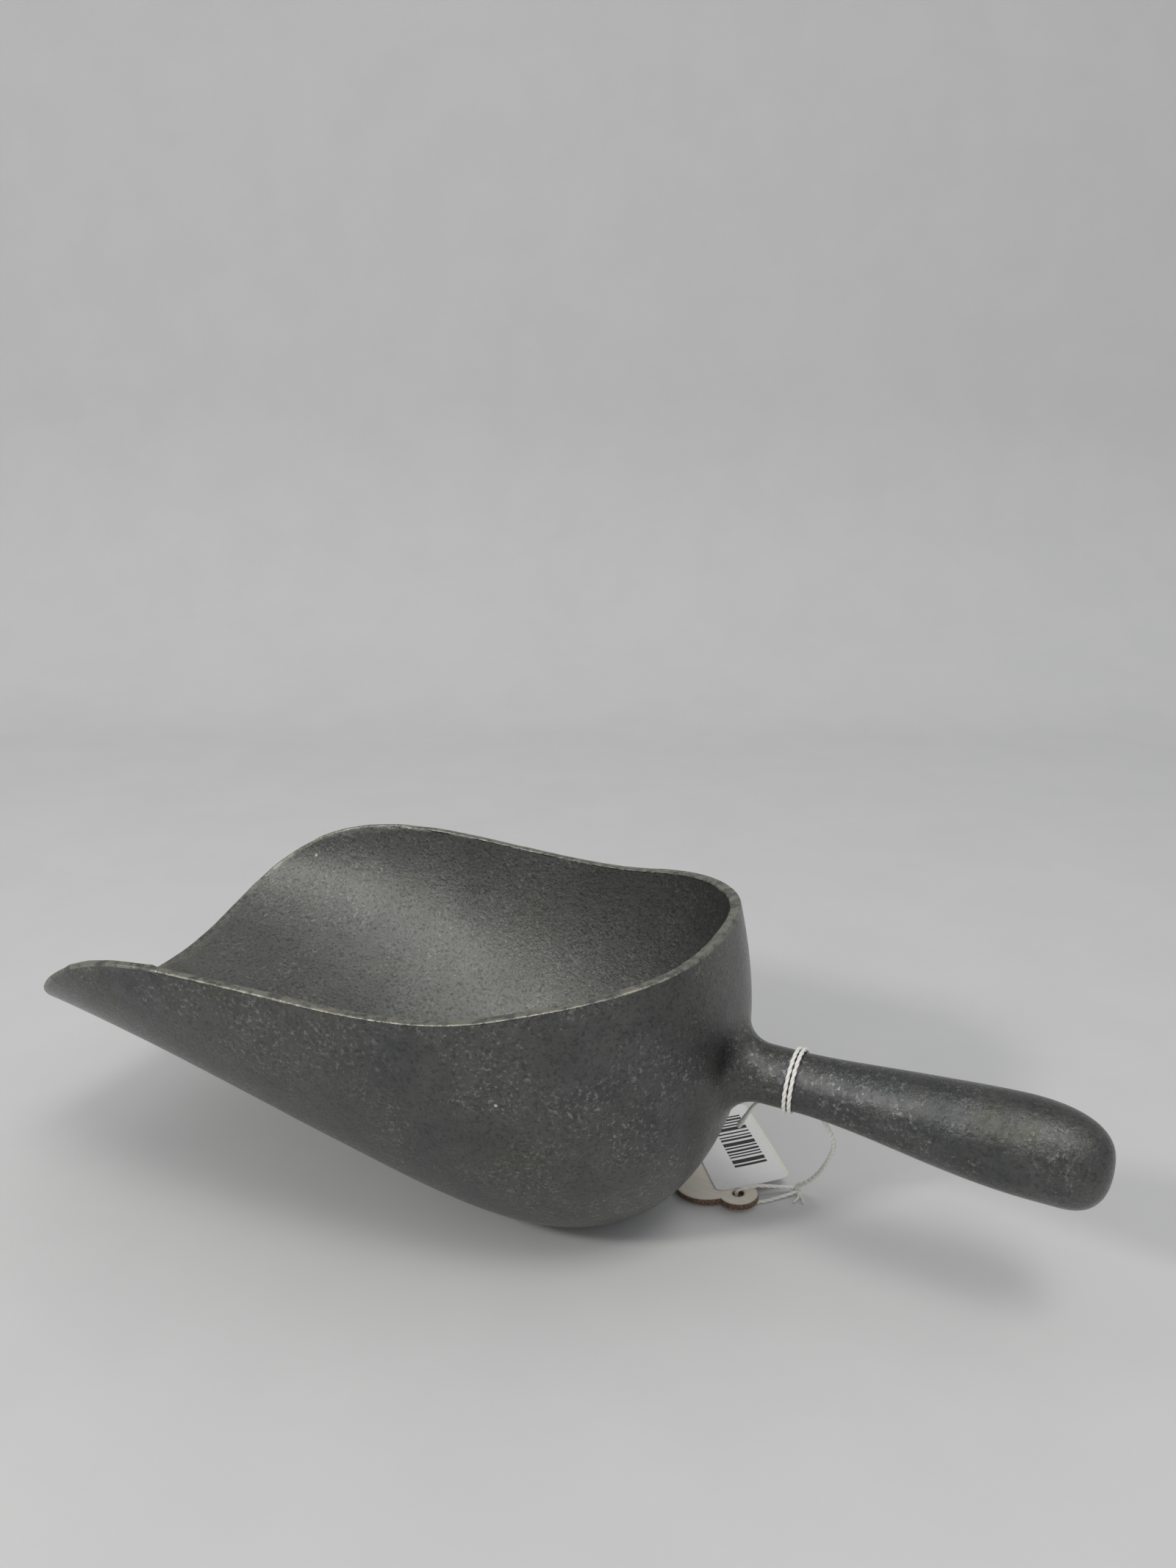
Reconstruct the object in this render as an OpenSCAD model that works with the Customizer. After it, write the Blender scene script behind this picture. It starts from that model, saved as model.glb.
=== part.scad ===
// Cast aluminium ice scoop, standing on its heel, with the string, wooden tag and paper
// label that hang from the neck of its handle.
// Frame: the origin is the centre of the heel flat, +X runs along the handle, +Z is up.

/* [Bowl] */
// Length of the bowl, from the back wall to the lip
bowl_len = 238; // [232:1:244]
// Greatest width of the bowl
bowl_w = 151; // [147:1:155]
// Depth at the back wall, below the level of the widest section
back_depth = 140.5; // [138:0.5:143]
// Depth at the lip
lip_depth = 29.7; // [28:0.1:31]
// Wall thickness at the back wall
wall_back = 3.8; // [3.2:0.1:4.2]
// Wall thickness at the lip
wall_lip = 2.2; // [2:0.1:2.6]
// Height cut off the heel to leave a flat
heel_cut = 0.8; // [0.5:0.1:1.2]
// Pitch of the bowl when it stands on its heel
rest_pitch = 13.1; // [12.5:0.1:13.5]

/* [Handle] */
// Depth of the handle axis below the widest level, at the back wall
handle_drop = 71.7; // [70:0.1:73]
// Downward pitch of the handle from the bowl's own level
handle_pitch = 15.6; // [14.6:0.1:16.4]
// Length of the handle from the back wall plane
handle_len = 106; // [102:1:110]
// Radius of the neck
neck_r = 9.25; // [9:0.05:9.6]
// Greatest radius of the grip
grip_r = 14.75; // [14:0.05:15.5]
// Radius of the fillet where the handle joins the bowl
root_fillet = 10.5; // [9:0.5:11]

/* [String] */
// Diameter of the cotton string
string_d = 1.3; // [1.2:0.05:1.4]
// Radial gap between the neck and the string
string_gap = 0.08; // [0.05:0.01:0.1]
// Distance of the string's turns along the handle
turns_at = 13.6; // [13.4:0.1:14.4]
// Distance between the two turns
turn_pitch = 1.6; // [1.5:0.05:1.8]

/* [Tag and label] */
// Radius of the tag's body
tag_r = 11.5; // [11:0.1:12]
// Radius of the tag's ear
ear_r = 7; // [6.8:0.1:7.2]
// Distance from the hole to the centre of the tag's body
tag_reach = 13; // [12.6:0.1:13.4]
// Thickness of the wooden tag
tag_t = 2; // [1.8:0.1:2.2]
// Radius of the string hole
hole_r = 2; // [1.9:0.05:2.1]
// Width of the paper label
label_w = 27; // [26:1:28]
// Length of the paper label
label_l = 53; // [50:1:54]
// Thickness of the paper label
label_t = 0.3; // [0.2:0.05:0.4]

/* [Quality] */
// Meridians of the casting
meridians = 72; // [60:4:76]
// Sides of the string
string_sides = 8; // [6:1:10]

/* [Hidden] */

CAST = [0.42, 0.42, 0.40];
COTTON = [0.87, 0.85, 0.80];
BIRCH = [0.86, 0.78, 0.66];
PAPER = [0.93, 0.93, 0.92];

half_w = bowl_w / 2;
waist_at = 0.59;        // where the bowl is widest, as a fraction of its length
back_narrowing = 6.5;   // loss of half width at the back wall
lip_narrowing = 14.5;   // loss of half width at the lip
back_slope = 53.5;      // slope of the keel at the back, per bowl length
lip_slope = -68;        // slope of the keel at the lip, per bowl length
plan_round = [112.2, 2.82];  // length and power of the rounded back in plan
keel_round = [150.8, 2.95];  // length and power of the rounded heel in side view
section_power = [2.11, 2.01]; // superellipse power of the section, back and lip
flare = 0.3;            // outward lean of the wall above the widest level
back_rim = -23.5;       // level of the rim at the back
side_rim = 2.2;         // level of the rim at its highest
back_dip = -1.9;        // dip of the rim over the handle
rim_rise = [0.2, 0.76]; // where the rim rises
lip_curve = [0.77, 1.84];  // where the rim falls to the lip, and the curve's power
back_bulge = [2.9, -20, 95];  // swell of the back wall: height, where it starts, extent
eye_back = 120;         // distance of the meridians' centre inside the bowl
hub_back = 100;         // distance of the rim spokes' hub from the back wall
spoke_warp = 9;         // bunches the spokes at the corners of the rim
wall_rows = 20;
fillet_rows = 4;
handle_rows = 11;
grip_sag = 1.5;         // how far the grip's centre line hangs below its axis
swell = [15, 86];       // where the neck starts to swell, and where the grip is full
end_round = [30, 12, 2.6]; // length of the rounded end above and below, and its power
BISECT = 22;
PROBE = 0.05;

// Curves of the bowl. s runs from the back wall to the lip.
function smooth(x) = let (t = min(max(x, 0), 1)) t * t * (3 - 2 * t);
function mix(a, b, t) = a + (b - a) * t;
function cap(s, c) = s >= c[0] ? 1 : pow(1 - pow((c[0] - s) / c[0], c[1]), 1 / c[1]);
function half_width(s) =
    let (u = min(s / bowl_len, 1.1) - waist_at,
        loss = u < 0 ? back_narrowing * pow(-u / waist_at, 1.2)
            : lip_narrowing * pow(u / (1 - waist_at), 2))
    (half_w - loss) * cap(s, plan_round);
function keel(t) =
    back_depth * (1 + t * t * (2 * t - 3)) + lip_depth * t * t * (3 - 2 * t)
    + back_slope * t * pow(1 - t, 2) + lip_slope * t * t * (t - 1);
function depth(s) = keel(min(s / bowl_len, 1.02)) * cap(s, keel_round);
function rim_level(s) =
    let (t = s / bowl_len,
        v = min(max((t - lip_curve[0]) / (1 - lip_curve[0]), 0), 1),
        fall = 1 - pow(1 - pow(v, lip_curve[1]), 1 / lip_curve[1]))
    mix(back_rim, side_rim, smooth((t - rim_rise[0]) / (rim_rise[1] - rim_rise[0])))
    + back_dip * pow(max(1 - t / rim_rise[0], 0), 2) - (side_rim + lip_depth) * fall;

// Field that is negative inside the bowl's outer surface
function bulge(p) =
    let (u = min(max((back_bulge[1] - p[2]) / back_bulge[2], 0), 1))
    back_bulge[0] * sin(180 * u) * (1 + p[0] / bowl_len);
function field(p) =
    let (s = bulge(p) - p[0])
    s <= 0.02 ? 1 - s
    : let (w = half_width(s),
          m = mix(section_power[0], section_power[1], min(s / bowl_len, 1)))
      max(s - bowl_len - 0.5, 0) + (
          p[2] > 0 ? abs(p[1]) / (w + flare * p[2]) - 1
          : pow(abs(p[1]) / w, m) + pow(-p[2] / depth(s), m) - 1);
function outward(p) =
    let (g = [for (i = [0:2]) let (e = [for (j = [0:2]) i == j ? PROBE : 0])
        field(p + e) - field(p - e)])
    g / norm(g);

// Meridians fan out from a point inside the bowl, about the handle's axis
axis = [cos(handle_pitch), 0, -sin(handle_pitch)];
rise = [sin(handle_pitch), 0, cos(handle_pitch)];
root = [0, 0, -handle_drop];
eye = root - eye_back * axis;
function around(theta) = cos(theta) * rise + [0, sin(theta), 0];
function ray(psi, theta) = cos(psi) * axis + sin(psi) * around(theta);
function wall_reach(dir, lo, hi, n) =
    n == 0 ? (lo + hi) / 2
    : let (mid = (lo + hi) / 2)
      field(eye + mid * dir) < 0 ? wall_reach(dir, mid, hi, n - 1)
      : wall_reach(dir, lo, mid, n - 1);
function wall_point(psi, theta) =
    let (dir = ray(psi, theta)) eye + wall_reach(dir, 5, 160, BISECT) * dir;

// Rim: found along spokes drawn in plan from a hub over the middle of the bowl
function rim_at(spoke, r) =
    let (x = r * cos(spoke) - hub_back, y = r * sin(spoke))
    [x, y, rim_level(min(max(-x, 0), bowl_len))];
function rim_reach(spoke, lo, hi, n) =
    n == 0 ? (lo + hi) / 2
    : let (mid = (lo + hi) / 2, p = rim_at(spoke, mid))
      field(p) < 0 && -p[0] < bowl_len ? rim_reach(spoke, mid, hi, n - 1)
      : rim_reach(spoke, lo, mid, n - 1);
function rim_point(spoke) = rim_at(spoke, rim_reach(spoke, 5, 180, BISECT));
function spoke_at(i) = let (u = 360 * i / meridians) u - spoke_warp * sin(2 * u);

// A meridian leaves the handle at one angle and turns to meet the rim at another
function aimed(p) =
    let (d = p - eye) [acos(d * axis / norm(d)), atan2(d[1], d * rise)];
function turned(from, to, t) = from + t * (to - from + (to - from < -180 ? 360 : 0));

// Handle: distance along the axis, centre line and radius
function sag(x) = -grip_sag * smooth((x - swell[0]) / (swell[1] - swell[0]));
function handle_radius(x, theta) =
    let (e = mix(end_round[1], end_round[0], (1 + cos(theta)) / 2),
        v = min(max((x - handle_len + e) / e, 0), 1),
        t = pow(max((x - swell[0]) / (swell[1] - swell[0]), 0), 0.9))
    mix(neck_r, grip_r, smooth(t)) * pow(1 - pow(v, end_round[2]), 1 / end_round[2]);
function handle_point(x, theta) =
    root + x * axis + sag(x) * rise + handle_radius(x, theta) * around(theta);
function flatten(p) = [(p - root) * axis, norm((p - root) - ((p - root) * axis) * axis)];
function bezier(a, b, c, d, t) =
    pow(1 - t, 3) * a + 3 * t * pow(1 - t, 2) * b + 3 * t * t * (1 - t) * c + pow(t, 3) * d;

fillet_tuck = 1.5;      // how much sooner than its radius the fillet meets the neck
root_psi = atan((neck_r + root_fillet) / eye_back);
neck_start = flatten(wall_point(0, 0))[0] + root_fillet - fillet_tuck;
function fillet_point(theta, t) =
    let (a = flatten(wall_point(root_psi, theta)), b = flatten(wall_point(root_psi + 1, theta)),
        d = [neck_start, neck_r], k = norm(d - a) * 0.42,
        q = bezier(a, a + k * (a - b) / norm(a - b), d - [k, 0], d, t))
    root + q[0] * axis + q[1] * around(theta);

// One closed ring of points for each row, from the handle's end over the rim to the inside
thetas = [for (i = [0:meridians - 1]) 360 * i / meridians];
rims = [for (i = [0:meridians - 1]) aimed(rim_point(spoke_at(i)))];
function wall_row(i, psi, t) = wall_point(psi, turned(thetas[i], rims[i][1], t));
handle_rings = [for (j = [1:handle_rows])
    let (x = neck_start + (handle_len - neck_start) * sin(90 * (1 - j / (handle_rows + 1)))) [
        for (theta = thetas) handle_point(x, theta)]];
fillet_rings = [for (j = [0:fillet_rows - 1]) [
    for (theta = thetas) fillet_point(theta, 1 - j / fillet_rows)]];
outer_rings = [for (j = [0:wall_rows]) [for (i = [0:meridians - 1])
    wall_row(i, mix(root_psi, rims[i][0], j / wall_rows), j / wall_rows)]];
function wall_t(s) = mix(wall_back, wall_lip, smooth(s / bowl_len));
function inset(p) = p - wall_t(-p[0]) * outward(p);
inner_rings = [for (j = [0:wall_rows - 1]) [for (i = [0:meridians - 1])
    inset(wall_row(i, rims[i][0] * (1 - j / wall_rows), 1 - j / wall_rows))]];
rings = concat(handle_rings, fillet_rings, outer_rings, inner_rings);
tip = handle_point(handle_len, 0);
inner_pole = inset(wall_point(0, 0));

// Rest frame: the keel's lowest point, pitched, becomes the origin
function pitched(p) =
    [cos(rest_pitch) * p[0] - sin(rest_pitch) * p[2], p[1],
        sin(rest_pitch) * p[0] + cos(rest_pitch) * p[2]];
keel_points = [for (s = [20:0.5:90]) pitched([-s, 0, -depth(s)])];
lowest = min([for (p = keel_points) p[2]]);
heel = [for (p = keel_points) if (p[2] == lowest) p][0] + [0, 0, heel_cut];
function rested(p) = pitched(p) - heel;

// Faces of a skin of closed rings with a pole at each end, or of a ringed closed tube
function ring_faces(rows, n, first) =
    [for (j = [0:rows - 2], i = [0:n - 1], h = [0, 1])
        let (a = first + j * n + i, b = first + j * n + (i + 1) % n)
        h == 0 ? [a, b, b + n] : [a, b + n, a + n]];
function pole_faces(pole, first, n, flip) =
    [for (i = [0:n - 1])
        let (a = first + i, b = first + (i + 1) % n) flip ? [pole, b, a] : [pole, a, b]];

module scoop_casting() {
    count = len(rings) * meridians;
    points = [for (ring = rings, p = ring) rested(p)];
    color(CAST) difference() {
        polyhedron(
            points = concat(points, [rested(tip), rested(inner_pole)]),
            faces = concat(
                pole_faces(count, 0, meridians, false),
                [for (f = ring_faces(len(rings), meridians, 0)) [f[0], f[2], f[1]]],
                pole_faces(count + 1, count - meridians, meridians, true)),
            convexity = 8);
        translate([-40, -40, -10]) cube([80, 80, 10]);
    }
}

// String: it rises from the knot, takes two turns round the neck and ends in a short tail.
// A small loop runs from the knot through the tag's hole and back.
hinge = rested(root);
run = pitched(axis);
lift = pitched(rise);
turn_r = neck_r + string_gap + string_d / 2;
turn_from = 80;      // angle at which the first turn starts, on the far side
turn_to = -545;      // angle at which the last turn leaves, under the neck
function turn_point(a) =
    let (x = turns_at + turn_pitch * (a + 270) / 360)
    hinge + x * run + turn_r * (cos(a) * lift + [0, sin(a), 0]);
neck_x = (hinge + turns_at * run)[0];
table = string_d / 2 + 0.1;
knot_d = 3.2;
knot = [neck_x - 4.2, 32.3, 1.7];
ear = [neck_x - 21.6, 19.6];
knot_gap = 0.15;     // the loop stops just short of the knot, which moves with the tag
right_strand = [[2.6, 11.1, 58], [5.6, 11.5, 48], [9.4, 15, 38.5], [9.8, 20, 30],
    [6, 26, 18], [1.2, 29.8, 9]];
left_tail = [[-4.8, 5.2, 51.9], [-9.9, 10.3, 48.8], [-14.8, 16, 43.6], [-18.4, 21, 37.8],
    [-22.1, 27, 30], [-25.3, 30, 23.3]];
function placed(list) = [for (p = list) [neck_x + p[0], p[1], p[2]]];
function spline(p, n) =
    [for (i = [0:len(p) - 2], k = [0:n - 1])
        let (a = p[max(i - 1, 0)], b = p[i], c = p[i + 1], d = p[min(i + 2, len(p) - 1)],
            t = k / n)
        0.5 * (2 * b + (c - a) * t + (2 * a - 5 * b + 4 * c - d) * t * t
            + (3 * b - a - 3 * c + d) * t * t * t)];
turn_steps = 63;
turn_points = [for (k = [0:turn_steps]) turn_point(mix(turn_from, turn_to, k / turn_steps))];
right_exit = [0.2, -0.25, 1];
over_exit = [-1, -0.1, 0.5];
under_exit = [-0.1, -1, -0.3];
sunk = 0.8 * knot_d / 2;      // how far from the knot's centre the tag's loop ends
clear = knot_d / 2 + string_d / 4 + knot_gap;
function exit(dir, reach) = knot + reach * unit(dir);
loop_path = concat(
    spline(concat([exit(right_exit, clear)],
        placed([for (i = [5:-1:0]) right_strand[i]]), [turn_points[0]]), 3),
    [for (i = [0:turn_steps - 1]) turn_points[i]],
    spline(concat([turn_points[turn_steps]], placed(left_tail)), 3),
    placed([left_tail[len(left_tail) - 1]]));
over = tag_t + string_d + 0.65;
tag_loop = [[6.6, 4.9, over + 1.3], [2.4, 1.7, over + 1.5], [0, 0.1, over + 0.8],
    [-0.7, -0.1, over - 0.8], [-0.6, -0.1, 1.9], [0.5, 0, 0.8], [2.6, 0.3, table - 0.05],
    [6.6, 1.7, table], [11.2, 5.6, table]];
tag_path = concat(
    spline(concat([exit(over_exit, sunk)],
        [for (p = tag_loop) [ear[0] + p[0], ear[1] + p[1], p[2]]], [exit(under_exit, sunk)]), 4),
    [exit(under_exit, sunk)]);

function unit(v) = v / norm(v);
function tangents(path) =
    [for (i = [0:len(path) - 1])
        unit(path[min(i + 1, len(path) - 1)] - path[max(i - 1, 0)])];
function carried(t, i, u) =
    i == len(t) ? [] : let (v = unit(u - (u * t[i]) * t[i])) concat([v], carried(t, i + 1, v));
module cord(path) {
    t = tangents(path);
    u = carried(t, 0, cross(t[0], [0.3, 0.2, 1]));
    n = string_sides;
    points = [for (i = [0:len(path) - 1], k = [0:n - 1])
        path[i] + string_d / 2 * (cos(360 * k / n) * u[i]
            + sin(360 * k / n) * cross(t[i], u[i]))];
    polyhedron(
        points = points,
        faces = concat([[for (k = [0:n - 1]) k]],
            [for (f = ring_faces(len(path), n, 0)) [f[0], f[2], f[1]]],
            [[for (k = [n - 1:-1:0]) len(points) - n + k]]),
        convexity = 10);
}

module string_loop() {
    color(COTTON) cord(loop_path);
}

module string_tag_end() {
    color(COTTON) cord(tag_path);
}

module string_knot() {
    color(COTTON) translate(knot) sphere(d = knot_d, $fn = 24);
}

// Tag and label share one plane, tilted because the string passes under the ear
tag_turn = 165;
tag_tilt = 3.6;
module on_tag() {
    translate([ear[0], ear[1], table + string_d / 2 + 0.15 + tag_t / 2])
        rotate([0, 0, tag_turn]) rotate([0, tag_tilt, 0]) children();
}

module wood_tag() {
    color(BIRCH) on_tag() translate([0, 0, -tag_t / 2]) linear_extrude(tag_t) difference() {
        union() {
            circle(r = ear_r, $fn = 64);
            translate([tag_reach, 0]) circle(r = tag_r, $fn = 96);
        }
        circle(r = hole_r, $fn = 48);
    }
}

label_corner = [6.6, 3.6];   // the label's near corner, in the tag's own plane
label_turn = -131;           // direction of the label's near edge, from the tag's length
corner_r = 2.5;
module paper_label() {
    color(PAPER) on_tag() translate([label_corner[0], label_corner[1], tag_t / 2])
        rotate(label_turn) linear_extrude(label_t) union() {
            translate([corner_r, 0]) square([label_w - 2 * corner_r, label_l]);
            translate([0, corner_r]) square([label_w, label_l - 2 * corner_r]);
            for (x = [corner_r, label_w - corner_r], y = [corner_r, label_l - corner_r])
                translate([x, y]) circle(r = corner_r, $fn = 48);
        }
}

scoop_casting();
string_loop();
string_knot();
string_tag_end();
wood_tag();
paper_label();
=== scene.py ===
"""Looks of the cast aluminium ice scoop, its string, wooden tag and paper label."""
import math
import bpy
import numpy as np
from mathutils import Matrix, Vector, noise


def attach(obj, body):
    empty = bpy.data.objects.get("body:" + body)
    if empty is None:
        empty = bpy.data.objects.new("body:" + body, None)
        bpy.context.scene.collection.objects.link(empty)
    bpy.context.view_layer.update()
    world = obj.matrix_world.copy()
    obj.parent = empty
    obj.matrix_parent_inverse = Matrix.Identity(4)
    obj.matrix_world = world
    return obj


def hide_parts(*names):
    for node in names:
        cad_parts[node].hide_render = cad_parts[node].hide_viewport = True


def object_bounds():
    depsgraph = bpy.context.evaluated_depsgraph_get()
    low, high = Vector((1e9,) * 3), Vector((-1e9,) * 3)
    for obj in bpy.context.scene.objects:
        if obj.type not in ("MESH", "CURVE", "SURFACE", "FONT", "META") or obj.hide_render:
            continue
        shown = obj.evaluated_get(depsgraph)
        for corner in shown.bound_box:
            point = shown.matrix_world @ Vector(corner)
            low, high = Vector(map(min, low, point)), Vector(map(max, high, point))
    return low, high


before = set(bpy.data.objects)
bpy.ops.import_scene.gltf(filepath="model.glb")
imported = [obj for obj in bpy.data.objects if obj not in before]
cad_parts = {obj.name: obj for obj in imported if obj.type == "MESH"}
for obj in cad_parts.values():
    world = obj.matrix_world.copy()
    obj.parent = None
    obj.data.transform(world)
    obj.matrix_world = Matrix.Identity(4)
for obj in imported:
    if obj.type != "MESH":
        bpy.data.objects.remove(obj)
cad_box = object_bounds()
MM = 0.001

# ---------------------------------------------------------------- shape of the casting (mm)
BOWL_LEN, HALF_W = 238.0, 75.5
BACK_DEPTH, LIP_DEPTH, BACK_SLOPE, LIP_SLOPE = 140.5, 29.7, 53.5, -68.0
WALL_BACK, WALL_LIP = 3.8, 2.2
HEEL_CUT = 0.8
WAIST_AT, BACK_NARROWING, LIP_NARROWING = 0.59, 6.5, 14.5
PLAN_ROUND, KEEL_ROUND = (112.2, 2.82), (150.8, 2.95)
SECTION_POWER = (2.11, 2.01)
FLARE = 0.3
BACK_RIM, SIDE_RIM, BACK_DIP = -23.5, 2.2, -1.9
RIM_RISE, LIP_CURVE = (0.2, 0.76), (0.77, 1.84)
BACK_BULGE = (2.9, -20.0, 95.0)
REST_PITCH, HANDLE_PITCH = math.radians(13.1), math.radians(15.6)
HANDLE_DROP, HANDLE_LEN = 71.7, 106.0
NECK_R, GRIP_R, ROOT_FILLET, FILLET_TUCK = 9.25, 14.75, 10.5, 1.5
GRIP_SAG, SWELL, END_ROUND = 1.5, (15.0, 86.0), (30.0, 12.0, 2.6)
EYE_BACK, HUB_BACK, SPOKE_WARP = 120.0, 100.0, math.radians(9)
FILLET_PULL = 0.42      # how far the root fillet's curve follows the wall and the neck
RIM_ROUND = 0.75        # radius of the rim's two worn edges
RIM_WAVES = ((9, 1.3, 0.28), (2.6, 4.1, 0.12))  # size, seed and height of its unevenness
RIM_LIFT, RIM_SWELL = 0.5, 0.7      # how much of that goes up, and into the rim's width
SKIN_WAVES = (38, 2.2, 0.22)        # size, first seed and height of the skin's unevenness
SKIN_FADE = 12                      # height above the table over which it fades in

# Shape of the string, tag and label (mm)
STRING_D, STRING_GAP = 1.3, 0.08
TURNS_AT, TURN_PITCH, TURN_FROM, TURN_TO = 13.6, 1.6, 80, -545
TURN_MIDDLE = -270      # the angle at which the turns pass TURNS_AT
KNOT_D, KNOT_CORD_R, KNOT_SIZE, KNOT_GAP = 3.2, 0.62, 0.441, 0.15
PLY_PITCH, YARN_PITCH, YARN_DEPTH = 5.2, 0.9, 0.02      # the cord's twist
LOBE_WAIST, LOBE_DEPTH, LOBE_POWER = 0.7, 0.3, 1.3
FRAY = ((0.05, 1.7, 0), (0.03, 5.3, 1))     # depth, rate per mm and phase of its waves
LOOSE_SHARE, LOOSE_START, LOOSE_END = 0.36, 12, 14
TAIL_R, TAIL_TAPER = 0.55, 0.35
TAG_R, EAR_R, TAG_REACH, TAG_T, HOLE_R = 11.5, 7.0, 13.0, 2.0, 2.0
TAG_TURN, TAG_TILT = math.radians(165), math.radians(3.6)
LABEL_W, LABEL_L, LABEL_T, CORNER_R = 27.0, 53.0, 0.22, 2.5
LABEL_CORNER, LABEL_TURN = (6.6, 3.6), math.radians(-131)
LABEL_LIFT, CURL, CURL_POWER, CURL_FALL, LABEL_BOW = 0.12, 1.5, 2.2, 0.55, 0.5
TAG_EDGE, TAG_CLEAR = 0.18, 0.15        # its worn edges, and its gap over the string
BAR_SEED, BAR_WIDTHS, BAR_GAPS = 12, [0.8, 0.9, 1.3, 2.2], [0.9, 1.1, 1.4]
BAR_FOOT, BAR_TOP = -0.1, 0.03      # the bars' faces, from the label's own surface


def smooth(x):
    t = np.clip(x, 0, 1)
    return t * t * (3 - 2 * t)


def mix(a, b, t):
    return a + (b - a) * t


def unit(v):
    return v / np.linalg.norm(v, axis=-1, keepdims=True)


def cap(s, curve):
    """Rounding of the back end: 0 at s = 0, and 1 from the curve's length on."""
    length, power = curve
    u = np.clip((length - s) / length, 0, 1)
    return (1 - u ** power) ** (1 / power)


def half_width(s):
    """Half width of the bowl at s (mm) forward of its back wall."""
    u = np.minimum(s / BOWL_LEN, 1.1) - WAIST_AT
    back = BACK_NARROWING * np.maximum(-u / WAIST_AT, 0) ** 1.2
    front = LIP_NARROWING * (u / (1 - WAIST_AT)) ** 2
    return (HALF_W - np.where(u < 0, back, front)) * cap(s, PLAN_ROUND)


def depth(s):
    """Depth of the bowl at s: a cubic keel line, rounded at the back."""
    t = np.minimum(s / BOWL_LEN, 1.02)
    keel = (BACK_DEPTH * (1 + t * t * (2 * t - 3)) + LIP_DEPTH * t * t * (3 - 2 * t)
            + BACK_SLOPE * t * (1 - t) ** 2 + LIP_SLOPE * t * t * (t - 1))
    return keel * cap(s, KEEL_ROUND)


def rim_level(s):
    """Height of the rim at s: low at the back, highest along the sides, down to the lip."""
    t = s / BOWL_LEN
    v = np.clip((t - LIP_CURVE[0]) / (1 - LIP_CURVE[0]), 0, 1)
    fall = 1 - (1 - v ** LIP_CURVE[1]) ** (1 / LIP_CURVE[1])
    rise = smooth((t - RIM_RISE[0]) / (RIM_RISE[1] - RIM_RISE[0]))
    dip = BACK_DIP * np.maximum(1 - t / RIM_RISE[0], 0) ** 2
    return mix(BACK_RIM, SIDE_RIM, rise) + dip - (SIDE_RIM + LIP_DEPTH) * fall


def field(p):
    """Negative inside the bowl's outer surface. p is in the bowl's own frame, in mm."""
    u = np.clip((BACK_BULGE[1] - p[..., 2]) / BACK_BULGE[2], 0, 1)
    back = BACK_BULGE[0] * np.sin(math.pi * u) * (1 + p[..., 0] / BOWL_LEN) - p[..., 0]
    s = np.maximum(back, 0.02)
    w, d = half_width(s), depth(s)
    m = mix(SECTION_POWER[0], SECTION_POWER[1], np.minimum(s / BOWL_LEN, 1))
    across = np.abs(p[..., 1])
    below = (across / w) ** m + (np.maximum(-p[..., 2], 0) / d) ** m - 1
    above = across / (w + FLARE * np.maximum(p[..., 2], 0)) - 1
    inside = np.where(p[..., 2] > 0, above, below) + np.maximum(s - BOWL_LEN - 0.5, 0)
    return np.where(back <= 0.02, 1 - back, inside)


def outward(p):
    steps = 0.05 * np.eye(3)
    return unit(np.stack([field(p + e) - field(p - e) for e in steps], -1))


def bisect(inside, lo, hi, shape, turns=34):
    lo, hi = np.full(shape, float(lo)), np.full(shape, float(hi))
    for _ in range(turns):
        mid = (lo + hi) / 2
        yes = inside(mid)
        lo, hi = np.where(yes, mid, lo), np.where(yes, hi, mid)
    return (lo + hi) / 2


AXIS = np.array([math.cos(HANDLE_PITCH), 0, -math.sin(HANDLE_PITCH)])
RISE = np.array([math.sin(HANDLE_PITCH), 0, math.cos(HANDLE_PITCH)])
SIDE = np.array([0.0, 1.0, 0.0])
ROOT = np.array([0, 0, -HANDLE_DROP])
EYE = ROOT - EYE_BACK * AXIS
ROOT_PSI = math.atan((NECK_R + ROOT_FILLET) / EYE_BACK)


def around(theta):
    return np.cos(theta)[..., None] * RISE + np.sin(theta)[..., None] * SIDE


def wall_point(psi, theta):
    """Where a ray from EYE, at psi from the handle's axis, leaves the outer surface."""
    psi, theta = np.broadcast_arrays(psi, theta)
    ray = np.cos(psi)[..., None] * AXIS + np.sin(psi)[..., None] * around(theta)
    reach = bisect(lambda r: field(EYE + r[..., None] * ray) < 0, 5, 160, psi.shape)
    return EYE + reach[..., None] * ray


def rim_point(spoke):
    """Where a spoke from the hub, at the rim's height, meets the outer surface."""
    def at(r):
        x, y = r * np.cos(spoke) - HUB_BACK, r * np.sin(spoke)
        return np.stack([x, y, rim_level(np.clip(-x, 0, BOWL_LEN))], -1)

    def inside(r):
        return (field(at(r)) < 0) & (at(r)[..., 0] > -BOWL_LEN)

    return at(bisect(inside, 5, 180, spoke.shape))


def pitched(p):
    c, s = math.cos(REST_PITCH), math.sin(REST_PITCH)
    return np.stack([c * p[..., 0] - s * p[..., 2], p[..., 1], s * p[..., 0] + c * p[..., 2]], -1)


KEEL_S = np.arange(20, 90.5, 0.5)
KEEL = pitched(np.stack([-KEEL_S, 0 * KEEL_S, -depth(KEEL_S)], -1))
HEEL = KEEL[KEEL[:, 2].argmin()] + np.array([0, 0, HEEL_CUT])


def rested(p):
    """From the bowl's own frame to the row frame, both in mm."""
    return pitched(p) - HEEL


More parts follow.
